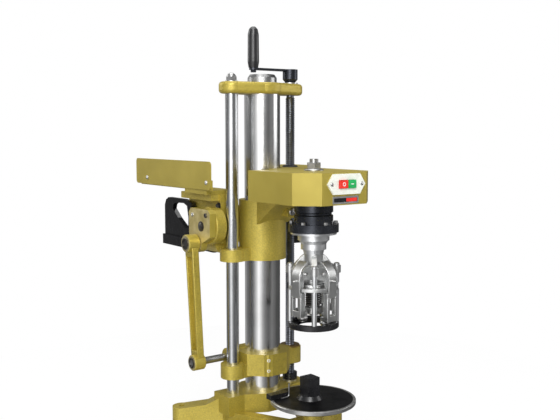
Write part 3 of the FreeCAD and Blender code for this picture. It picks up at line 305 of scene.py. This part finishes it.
BRONZE = steel("bronze", (0.30, 0.20, 0.08), (0.42, 0.29, 0.12), 0.30, 0.45)
TABLE = table_top()
CRANK = part_machined("crank_enamel", -0.1301, (0.42, 0.33, 0.10), (0.66, 0.56, 0.26))
ROD = part_machined("rod_enamel", -0.1566, (0.30, 0.24, 0.09), (0.46, 0.40, 0.20))
DARK = steel("dark_steel", (0.10, 0.095, 0.09), (0.20, 0.19, 0.18), 0.30, 0.45)

LOOKS = {
    "base_casting": GOLD, "column": CHROME, "guide_rod": ROD_CHROME, "top_plate": GOLD, "column_cap": BRIGHT,
    "acorn_nut": BRIGHT, "screw_bushes": BRIGHT, "table_post": GOLD, "bottle_table": TABLE,
    "bottle_rest": BLACK, "table_clamp": BLACK, "table_wire": BRIGHT, "height_screw": OXIDE,
    "foot_collar": OXIDE, "crank_hub": OXIDE, "crank_arm": OXIDE, "crank_grip": GRIP, "lift_collar": GOLD,
    "lead_nut": BRONZE, "lower_pin": BRIGHT, "head_casting": GOLD, "gearbox_housing": GOLD,
    "bearing_cap": GOLD, "lift_motor": BLACK, "motor_bracket": GLOSS, "rear_plate": SHEET,
    "guard_plate": SHEET, "spindle_motor": BLACK, "belt_cover": SHEET, "screw_grommet": RUBBER,
    "switch_plate": WHITE, "spindle_housing": OXIDE, "flange_bolts": BRIGHT, "spindle_bearings": BRIGHT,
    "drive_belt": RUBBER, "stop_button": RED, "start_button": GREEN, "output_crank": CRANK,
    "connecting_rod": ROD, "crank_pin": DARK, "motor_pulley": ALLOY, "spindle_shaft": BRIGHT,
    "spindle_pulley": ALLOY, "spindle_nut": BRIGHT, "spindle_neck": SATIN, "roller_carrier": ALLOY,
    "lever_pins": BRIGHT, "spider_plate": ALLOY, "cage_rods": SATIN, "guide_ring": BLACK,
    "pressure_block": BRIGHT,
}
for number in range(1, 5):
    LOOKS[f"lever_{number}"] = ALLOY
    LOOKS[f"roller_{number}"] = BRIGHT

# Edge rounding of the CAD pieces, in millimetres
ROUNDS = {
    "base_casting": 3.0, "lift_collar": 2.2, "head_casting": 2.5, "gearbox_housing": 2.5, "output_crank": 1.8,
    "belt_cover": 1.6, "rear_plate": 0.8, "guard_plate": 0.6, "motor_bracket": 2.2,
    "lift_motor": 1.2, "spindle_motor": 1.5, "stop_button": 1.4, "start_button": 1.4, "switch_plate": 0.9,
    "bottle_rest": 1.5, "table_clamp": 1.0, "crank_arm": 0.7, "crank_hub": 0.8, "spindle_housing": 0.9,
    "guide_ring": 0.8, "roller_carrier": 1.0, "spindle_neck": 0.7, "bearing_cap": 5.0, "acorn_nut": 0.6,
    "column_cap": 1.0, "table_post": 1.0, "spindle_nut": 0.6, "flange_bolts": 0.4, "foot_collar": 0.8,
}


def piece(name, mesh, material, body, sharp=40):
    """Finished mesh object that rides on a body."""
    data = bpy.data.meshes.new(name)
    bmesh.ops.recalc_face_normals(mesh, faces=mesh.faces)
    mesh.to_mesh(data)
    mesh.free()
    data.materials.append(material)
    data.polygons.foreach_set("use_smooth", [True] * len(data.polygons))
    data.set_sharp_from_angle(angle=math.radians(sharp))
    thing = bpy.data.objects.new(name, data)
    bpy.context.scene.collection.objects.link(thing)
    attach(thing, body)
    return thing


def lathe(mesh, profile, at, axis=UP, sides=32):
    """Turned form: radius and height pairs in millimetres about an axis through a point."""
    facing = Vector(UP).rotation_difference(Vector(axis)).to_matrix().to_4x4()
    frame_at = Matrix.Translation(Vector(at) / 1000) @ facing
    rings = []
    closed = profile[0] == profile[-1]
    for radius, height in profile[:-1] if closed else profile:
        if radius < 1e-6:
            rings.append([mesh.verts.new(frame_at @ Vector((0, 0, height / 1000)))])
            continue
        ring = []
        for step in range(sides):
            angle = 2 * math.pi * step / sides
            spot = Vector((radius * math.cos(angle), radius * math.sin(angle), height)) / 1000
            ring.append(mesh.verts.new(frame_at @ spot))
        rings.append(ring)
    for low, high in zip(rings, rings[1:] + (rings[:1] if closed else [])):
        for step in range(sides):
            after = (step + 1) % sides
            if len(low) == 1 and len(high) == 1:
                continue
            if len(low) == 1:
                mesh.faces.new((low[0], high[step], high[after]))
            elif len(high) == 1:
                mesh.faces.new((low[step], low[after], high[0]))
            else:
                mesh.faces.new((low[step], low[after], high[after], high[step]))


def socket_screw(mesh, at, axis, radius, high):
    """Socket-head cap screw."""
    mouth, socket, deep = radius * 0.55, radius * 0.52, high * 0.35
    lathe(mesh, [(0, 0), (radius, 0), (radius, high - 0.6), (radius - 0.6, high), (mouth, high)], at, axis,
          24)
    lathe(mesh, [(mouth, high), (socket, high - 0.3), (socket, deep), (0, deep)], at, axis, 6)


def hex_screw(mesh, at, axis, radius, high):
    """Hexagon-head screw on its washer."""
    rim, low = radius * 1.35, 1.2
    top = low + high
    lathe(mesh, [(0, 0), (rim, 0), (rim, 1.0), (radius * 1.25, low), (0, low)], at, axis, 28)
    lathe(mesh, [(0, low), (radius, low), (radius, top - 0.5), (radius * 0.9, top), (0, top)], at, axis, 6)


def round_screw(mesh, at, axis, radius, high):
    """Domed screw with a round recess."""
    dome = [(0, 0), (1, 0), (1, 0.35), (0.9, 0.7), (0.62, 0.94), (0.34, 1)]
    recess = [(0.34, 1), (0.2, 0.55), (0, 0.5)]
    for profile in (dome, recess):
        lathe(mesh, [(radius * r, high * z) for r, z in profile], at, axis, 28)


def turned(name, profile, at, axis, material, body, sides=32):
    """One turned piece."""
    mesh = bmesh.new()
    lathe(mesh, profile, at, axis, sides)
    return piece(name, mesh, material, body)


def washer(bore, rim, high, bevel, drop):
    """Profile of a ring whose outer edge is bevelled."""
    return [(bore, 0), (rim, 0), (rim, high - drop), (rim - bevel, high), (bore, high), (bore, 0)]


def centre(name):
    """Middle of a CAD piece's box, in millimetres."""
    low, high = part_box(name)
    return (low + high) * 500


def skin(mesh, rings):
    """Faces from one ring of corners to the next and over both ends."""
    mesh.faces.new(rings[0])
    mesh.faces.new(rings[-1])
    for first, second in zip(rings, rings[1:]):
        for step in range(len(first)):
            after = (step + 1) % len(first)
            mesh.faces.new((first[step], first[after], second[after], second[step]))


def prism(mesh, outline, low, high, place):
    """Closed prism: an outline in u and z millimetres, carried from low to high along v."""
    skin(mesh, [[mesh.verts.new(place(u, v, z)) for u, z in outline] for v in (low, high)])


def block(mesh, u, v, z, place):
    """Closed box between two values of each of u, v and z."""
    prism(mesh, [(u[0], z[0]), (u[1], z[0]), (u[1], z[1]), (u[0], z[1])], v[0], v[1], place)


def soften(thing, width):
    """Rounds the edges of a piece by a width in millimetres."""
    soft = thing.modifiers.new("Edges", "BEVEL")
    soft.width = width / 1000
    soft.segments = 2
    soft.limit_method = "ANGLE"
    soft.angle_limit = math.radians(38)
    soft.harden_normals = False


def plate_piece(name, wide, high, thick, corner, x, y, z, material, body):
    """Rounded flat plate that faces -Y, its back at y."""
    rim = []
    for sign_x, sign_z, start in ((1, 1, 0), (-1, 1, 90), (-1, -1, 180), (1, -1, 270)):
        for step in range(7):
            angle = math.radians(start + 15 * step)
            rim.append((x + sign_x * (wide / 2 - corner) + corner * math.cos(angle),
                        z + sign_z * (high / 2 - corner) + corner * math.sin(angle)))
    mesh = bmesh.new()
    skin(mesh, [[mesh.verts.new(mm(a, level, b)) for a, b in rim] for level in (y, y - thick)])
    return piece(name, mesh, material, body)


def screws(name, kind, spots, axis, material, body, radius, high):
    """Several like screws as one piece, their heads pointing along an axis."""
    mesh = bmesh.new()
    for at in spots:
        kind(mesh, at, axis, radius, high)
    return piece(name, mesh, material, body)


def height_screw():
    """Threaded bar as one helical surface, with a plain journal at each end."""
    low, high = (corner.z * 1000 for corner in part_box("height_screw"))
    rows, sides = int((high - low) / PITCH * 4), 20
    mesh = bmesh.new()
    rings = []
    for row in range(rows + 1):
        level = low + (high - low) * row / rows
        ring = []
        for step in range(sides):
            angle = 2 * math.pi * step / sides
            wave = abs((level / PITCH - step / sides) % 1.0 - 0.5) * 2
            radius = ROOT_R + (CREST_R - ROOT_R) * min(1.0, max(0.0, wave * 1.6 - 0.3))
            if not JOURNALS[0] <= level <= JOURNALS[1]:
                radius = JOURNAL_R
            ring.append(mesh.verts.new(mm(SCREW_X + radius * math.cos(angle), radius * math.sin(angle),
                                          level)))
        rings.append(ring)
    skin(mesh, rings)
    screw = piece("screw_thread", mesh, THREAD, "screw", 60)
    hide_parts("height_screw")


def fittings():
    """Screws, plugs, rings, the strip and the marks on the buttons."""
    screws("guard_screws", round_screw, [(GUARD_X, 281, 513), (GUARD_X, 17, 513)], LEFT, BRIGHT,
           "head", 4.6, 2.6)
    screws("switch_screws", round_screw, [(-34, SWITCH_Y, SWITCH_Z), (38, SWITCH_Y, SWITCH_Z)], FRONT, BRIGHT,
           "head", 3.6, 1.8)
    plate_piece("strip_rim", 63, 14, 0.6, 2.0, 2, COVER_Y, STRIP_Z, ALLOY, "head")
    plate_piece("strip_face", 56, 7.5, 0.3, 1.2, 2, COVER_Y - 0.6, STRIP_Z, BLACK, "head")
    plate_piece("strip_band", 26, 6.5, 0.2, 0.6, 16, COVER_Y - 0.9, STRIP_Z, RED, "head")
    ring = [(2.4, 0), (3.6, 0), (3.6, 0.25), (2.4, 0.25), (2.4, 0)]
    turned("stop_mark", ring, (-8, BUTTON_Y, SWITCH_Z), FRONT, MARK, "stop", 28)
    plate_piece("start_mark", 7, 1.5, 0.25, 0.6, 12, BUTTON_Y, SWITCH_Z, MARK, "start")

    turn = math.radians(COLLAR_FLAT_DEG)
    out = (math.cos(turn), math.sin(turn), 0)
    spots = [(COLLAR_FLAT_R * out[0], COLLAR_FLAT_R * out[1], level) for level in (119, 141)]
    screws("collar_screws", socket_screw, spots, out, MARK, "collar", 3.6, 1.5)
    screws("crank_screw", socket_screw, [(CRANK_X, 14, 446)], LEFT, DARK, "crank", 5.0, 3.0)
    screws("crank_bolt", hex_screw, [(CRANK_X, 34, 422)], LEFT, DARK, "crank", 8.0, 1.9)
    screws("crank_stud", round_screw, [(CRANK_X, 68, 444)], LEFT, BRIGHT, "crank", 4.5, 2.5)
    screws("gearbox_plug", hex_screw, [(-92, 26, 463)], LEFT, BLACK, "head", 5.5, 4.0)
    screws("sleeve_screw", hex_screw, [(-43, -8, 475)], UP, DARK, "head", 4.6, 8.0)
    cone = [(30.5, 0), (RING_R, 0), (RING_R, 6.6), (RING_R - 0.8, 6.6), (30.5, 1), (30.5, 0)]
    turned("ring_cone", cone, (0, -HEAD_Y, RING_LOW), UP, BLACK, "spindle", 64)
    turned("nut_washer", washer(12.8, 19, 3.6, 1.5, 1.4), (0, -HEAD_Y, NUT_Z), UP, BRIGHT, "spindle", 40)
    screws("corbel_plug", round_screw, [(12, -89.5, 454)], FRONT, BRIGHT, "head", 8.0, 3.0)
    for name, bore, rim in (("lower_pin", 7.7, 11.0), ("crank_pin", 9.3, 12.5)):
        spot = (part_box(name)[0].x * 1000, *centre(name).yz)
        turned(f"{name}_ring", washer(bore, rim, 2.2, 1.5, 0.6), spot, LEFT, DARK, "rod")


def connecting_rod():
    """Cast rod: two eyes and a thinner shank between them with a deep channel on its outer side."""
    low, high = (corner.x * 1000 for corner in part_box("connecting_rod"))
    pins = [centre(name) for name in ("lower_pin", "crank_pin")]
    along = Vector((0, pins[1].y - pins[0].y, pins[1].z - pins[0].z))
    long = along.length
    along.normalize()
    across = Vector((0, along.z, -along.y))

    def place(t, x, s):
        return (Vector((x, pins[0].y, pins[0].z)) + along * s + across * t) / 1000

    # Outer face of the shank, bottom of its channel and its back
    face, floor, back = low + 7, low + 15, high - 3.5
    mesh = bmesh.new()
    for side in (-1, 1):
        flange = [(side * 9.5, 9), (side * 14.2, 9), (side * 15.6, long - 9), (side * 10.6, long - 9)]
        prism(mesh, flange, face, back, place)
    prism(mesh, [(-13, 12), (13, 12), (14.4, long - 13), (-14.4, long - 13)], floor, back - 3, place)
    block(mesh, (-13.4, 13.4), (face, back), (12, 25), place)
    block(mesh, (-14.4, 14.4), (face, back), (long - 28, long - 13), place)
    shank = piece("rod_shank", mesh, GOLD, "rod")
    soften(shank, 1.5)
    mesh = bmesh.new()
    thick, edge = high - low, 1.5
    for pin, hole, wall in ((pins[0], 7.8, 16.5), (pins[1], 9.3, 18.5)):
        rim = [(hole, 0), (wall - edge, 0), (wall, edge), (wall, thick - edge), (wall - edge, thick),
               (hole, thick), (hole, 0)]
        lathe(mesh, rim, (low, pin.y, pin.z), (1, 0, 0), 40)
    piece("rod_eyes", mesh, ROD, "rod")
    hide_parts("connecting_rod")


def spider():
    """Cage plate: four round lobes on the cage rods, with a way between them for each lever."""
    half_way, lobe, root, thick, hub = 12.6, 49.0, 30.0, 7, 31
    lobe_deg, root_deg = (45 - math.degrees(math.asin(half_way / radius)) for radius in (lobe, root))
    arc = [(lobe, lobe_deg * (step / 6 - 1)) for step in range(13)]
    spots = [(root, -root_deg), *arc, (root, root_deg)]
    rim = [(r, math.radians(HEAD_DEG + 45 + 90 * corner + turn)) for corner in range(4) for r, turn in spots]
    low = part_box("spider_plate")[0].z * 1000
    high = low + thick
    mesh = bmesh.new()
    skin(mesh, [[mesh.verts.new(mm(r * math.cos(a), r * math.sin(a) - HEAD_Y, z)) for r, a in rim]
                for z in (low, high)])
    lathe(mesh, [(0, high - 1), (hub, high - 1), (hub, high + 4), (hub - 2, high + 5), (0, high + 5)],
          (0, -HEAD_Y, 0))
    thing = piece("spider_lobes", mesh, ALLOY, "spindle")
    soften(thing, 0.8)
    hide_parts("spider_plate")


def spring():
    """Coil spring between the pressure block and the cage plate."""
    low, high, coils, middle, wire, sides, steps = 275.5, 310.0, 7, 14.2, 1.7, 10, 24
    mesh = bmesh.new()
    rings = []
    for step in range(coils * steps + 1):
        angle = 2 * math.pi * step / steps
        level = low + wire + (high - low - 2 * wire) * step / (coils * steps)
        ring = []
        for side in range(sides):
            around = 2 * math.pi * side / sides
            radius = middle + wire * math.cos(around)
            ring.append(mesh.verts.new(mm(radius * math.cos(angle), radius * math.sin(angle) - HEAD_Y,
                                          level + wire * math.sin(around))))
        rings.append(ring)
    skin(mesh, rings)
    coil = piece("presser_spring", mesh, DARK, "spindle", 60)
    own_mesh(coil)


def levers():
    """Cast levers: a forked top on the pin, an open frame below and a toe that holds the roller."""
    top = [(50, 300), (51, 322), (51, 335), (50, 344), (46, 352), (40, 359), (34, 365), (28, 368),
           (25.5, 364),
           (28, 356), (31, 349), (31.5, 338), (38, 328), (40, 300)]
    for number in range(1, 5):
        turn = math.radians(90 * (number - 1) + HEAD_DEG)
        c, s = math.cos(turn), math.sin(turn)

        def place(u, v, z):
            return mm(u * c - v * s, u * s + v * c - HEAD_Y, z)

        low = LEVER_LOW[number % 2]
        mesh = bmesh.new()
        prism(mesh, top, -10.8, 10.8, place)
        block(mesh, (38, 50), (-14, 14), (298, 308), place)
        for side in (-1, 1):
            block(mesh, (38, 50), sorted((side * 11, side * 14)), (low, 300), place)
            block(mesh, (46, 50.4), sorted((side * 7.5, side * 13.8)), (low, 300), place)
        block(mesh, (38, 50), (-14, 14), (low, low + 12), place)
        block(mesh, (26.5, 40), (-9, 9), (low, low + 7.5), place)
        thing = piece(f"lever_frame_{number}", mesh, ALLOY, f"arm_{number}")
        soften(thing, 0.7)
        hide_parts(f"lever_{number}")
        stem = [(0, low + 9.5), (4.2, low + 9), (4.2, low + 7), (3, low + 7), (3, low - 11), (5, low - 11),
                (5, low - 12.3), (0, low - 12.3)]
        turned(f"lever_stem_{number}", stem, (STEM_R * c, STEM_R * s - HEAD_Y, 0), UP, BRIGHT,
               f"arm_{number}", 24)
        screws(f"lever_screw_{number}", socket_screw, [(49.5 * c, 49.5 * s - HEAD_Y, 331)], (c, s, 0), BRIGHT,
               f"arm_{number}", 1.9, 9.0)


def shader_mix(tree, fac, first, second):
    """Mixes two shaders."""
    mix = tree.nodes.new("ShaderNodeMixShader")
    tree.links.new(fac, mix.inputs["Fac"])
    tree.links.new(first, mix.inputs[1])
    tree.links.new(second, mix.inputs[2])
    return mix.outputs[0]


def pale_floor():
    """Round sheet of pale paper that keeps a soft shadow; polished metal mirrors the studio through it."""
    mesh = bmesh.new()
    bmesh.ops.create_circle(mesh, cap_ends=True, segments=96, radius=0.85)
    data = bpy.data.meshes.new("floor")
    mesh.to_mesh(data)
    mesh.free()
    floor = bpy.data.objects.new("floor", data)
    bpy.context.scene.collection.objects.link(floor)
    floor.location.z = -0.0005
    ground = bpy.data.materials.new("floor_paper")
    ground.use_nodes = True
    tree = ground.node_tree
    shader = tree.nodes["Principled BSDF"]
    shader.inputs["Base Color"].default_value = (0.86, 0.86, 0.86, 1)
    shader.inputs["Roughness"].default_value = 0.9
    glow = tree.nodes.new("ShaderNodeEmission")
    glow.inputs["Strength"].default_value = 1.0
    clear = tree.nodes.new("ShaderNodeBsdfTransparent")
    seen = tree.nodes.new("ShaderNodeLightPath")
    share = tree.nodes.new("ShaderNodeMath")
    share.operation = "MULTIPLY"
    share.inputs[1].default_value = FLOOR_GLOW
    tree.links.new(seen.outputs["Is Camera Ray"], share.inputs[0])
    paper = shader_mix(tree, share.outputs[0], shader.outputs[0], glow.outputs[0])
    surface = shader_mix(tree, seen.outputs["Is Glossy Ray"], paper, clear.outputs[0])
    tree.links.new(surface, tree.nodes["Material Output"].inputs["Surface"])
    data.materials.append(ground)


def lamps():
    """Soft square lamps round the machine."""
    for name, (spot, target, wide, watts) in LAMPS.items():
        lamp = bpy.data.lights.new(name, "AREA")
        lamp.shape, lamp.size, lamp.energy = "SQUARE", wide, watts
        stand = bpy.data.objects.new(name, lamp)
        bpy.context.scene.collection.objects.link(stand)
        stand.location = spot
        stand.rotation_euler = (Vector(target) - Vector(spot)).to_track_quat("-Z", "Y").to_euler()


def surroundings():
    """White to the camera, even light on the object, and light and dark bands for metal to mirror."""
    world = bpy.data.worlds.new("studio")
    bpy.context.scene.world = world
    world.use_nodes = True
    tree = world.node_tree
    tree.nodes.clear()
    out = tree.nodes.new("ShaderNodeOutputWorld")
    plain, white, mirror = (tree.nodes.new("ShaderNodeBackground") for _ in range(3))
    plain.inputs["Color"].default_value = white.inputs["Color"].default_value = (1, 1, 1, 1)
    plain.inputs["Strength"].default_value = 0.50
    where = tree.nodes.new("ShaderNodeTexCoord")
    split = tree.nodes.new("ShaderNodeSeparateXYZ")
    tree.links.new(where.outputs["Generated"], split.inputs[0])
    angle = tree.nodes.new("ShaderNodeMath")
    angle.operation = "ARCTAN2"
    tree.links.new(split.outputs["Y"], angle.inputs[0])
    tree.links.new(split.outputs["X"], angle.inputs[1])
    share = tree.nodes.new("ShaderNodeMapRange")
    share.inputs["From Min"].default_value = -math.pi
    share.inputs["From Max"].default_value = math.pi
    tree.links.new(angle.outputs[0], share.inputs["Value"])
    ramp = tree.nodes.new("ShaderNodeValToRGB")
    ramp.color_ramp.interpolation = "EASE"
    bar = ramp.color_ramp.elements
    while len(bar) < len(SKYLINE):
        bar.new(0.5)
    for element, (place, _) in zip(bar, SKYLINE):
        element.position = place
    for element, (_, value) in zip(bar, SKYLINE):
        element.color = (value, value, value, 1)
    tree.links.new(share.outputs["Result"], ramp.inputs["Fac"])
    tree.links.new(ramp.outputs["Color"], mirror.inputs["Color"])
    path = tree.nodes.new("ShaderNodeLightPath")
    lit = shader_mix(tree, path.outputs["Is Glossy Ray"], plain.outputs[0], mirror.outputs[0])
    seen = shader_mix(tree, path.outputs["Is Camera Ray"], lit, white.outputs[0])
    tree.links.new(seen, out.inputs["Surface"])


def camera():
    """Stands in front and to the left, a little above the head, and looks slightly down."""
    lens = bpy.data.cameras.new("camera")
    lens.lens, lens.sensor_width = 51.43, 36
    lens.clip_start, lens.clip_end = 0.05, 50
    eye = bpy.data.objects.new("camera", lens)
    bpy.context.scene.collection.objects.link(eye)
    eye.location = CAMERA_AT
    eye.rotation_euler = (math.radians(90 - CAMERA_DOWN_DEG), 0, -math.radians(CAMERA_TURN_DEG))
    bpy.context.scene.camera = eye


for name, thing in NODES.items():
    thing.data.materials.clear()
    thing.data.materials.append(LOOKS[name])
    if name in ROUNDS:
        soften(thing, ROUNDS[name])
pale_floor()
lamps()
surroundings()
camera()
height_screw()
fittings()
connecting_rod()
spider()
spring()
levers()
bpy.context.scene.view_settings.view_transform = "Standard"
